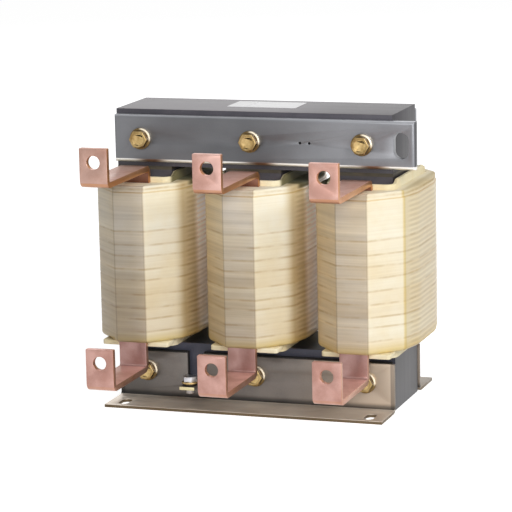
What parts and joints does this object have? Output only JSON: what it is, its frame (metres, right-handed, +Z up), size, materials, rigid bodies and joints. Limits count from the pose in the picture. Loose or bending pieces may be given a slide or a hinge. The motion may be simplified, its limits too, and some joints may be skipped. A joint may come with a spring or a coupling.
{
  "type": "load-side reactor",
  "caption": "Iron-core reactor with taped coils on a laminated core, clamp bars above, slotted feet below and bent copper terminal tabs in front.",
  "frame": {"origin": "centre of the four foot slots, on the plane that the feet stand on", "axes": "+Z up, -Y towards the terminals, +X towards the slotted lug on the right"},
  "size_m": [0.326, 0.264, 0.288],
  "materials": {
    "core": "dark varnished electrical steel laminations",
    "gap_board": "glass-fibre board",
    "bar_paint": "satin grey flat bar with rounded edges",
    "bracket_zinc": "steel sheet with a tan zinc coat",
    "black_board": "black insulating board",
    "yellow_zinc": "yellow zinc-plated steel",
    "sleeve_plastic": "insulating tube",
    "bright_steel": "bright plated steel",
    "pressboard": "varnished pressboard",
    "foil": "copper foil",
    "coil_tape": "varnished cream insulating tape",
    "copper": "bare satin copper flat"
  },
  "bodies": {
    "root": {"lower_yoke": "core", "upper_yoke": "core", "leg_left": "core", "leg_middle": "core", "leg_right": "core", "lower_gap_plate_left": "gap_board", "lower_gap_plate_middle": "gap_board", "lower_gap_plate_right": "gap_board", "upper_gap_plate_left": "gap_board", "upper_gap_plate_middle": "gap_board", "upper_gap_plate_right": "gap_board", "upper_clamp_bar_front": "bar_paint", "upper_clamp_bar_rear": "bar_paint", "foot_bracket_front": "bracket_zinc", "foot_bracket_rear": "bracket_zinc", "upper_strip_front": "black_board", "upper_strip_rear": "black_board", "lower_strip_front": "black_board", "lower_strip_rear": "black_board", "upper_clamp_bolts": "yellow_zinc", "lower_clamp_bolts": "yellow_zinc", "clamp_bolt_washers": "yellow_zinc", "clamp_bolt_nuts": "yellow_zinc", "earth_washer": "yellow_zinc", "clamp_bolt_sleeves": "sleeve_plastic", "earth_screw": "bright_steel", "earth_spring_washer": "bright_steel", "coil_former_left": "pressboard", "coil_former_middle": "pressboard", "coil_former_right": "pressboard", "leg_wedges_left": "pressboard", "leg_wedges_middle": "pressboard", "leg_wedges_right": "pressboard", "coil_packing_left": "pressboard", "coil_packing_middle": "pressboard", "coil_packing_right": "pressboard", "foil_winding_left": "foil", "foil_winding_middle": "foil", "foil_winding_right": "foil", "coil_tape_left": "coil_tape", "coil_tape_middle": "coil_tape", "coil_tape_right": "coil_tape", "upper_terminal_left": "copper", "upper_terminal_middle": "copper", "upper_terminal_right": "copper", "lower_terminal_left": "copper", "lower_terminal_middle": "copper", "lower_terminal_right": "copper"}
  },
  "joints": []
}
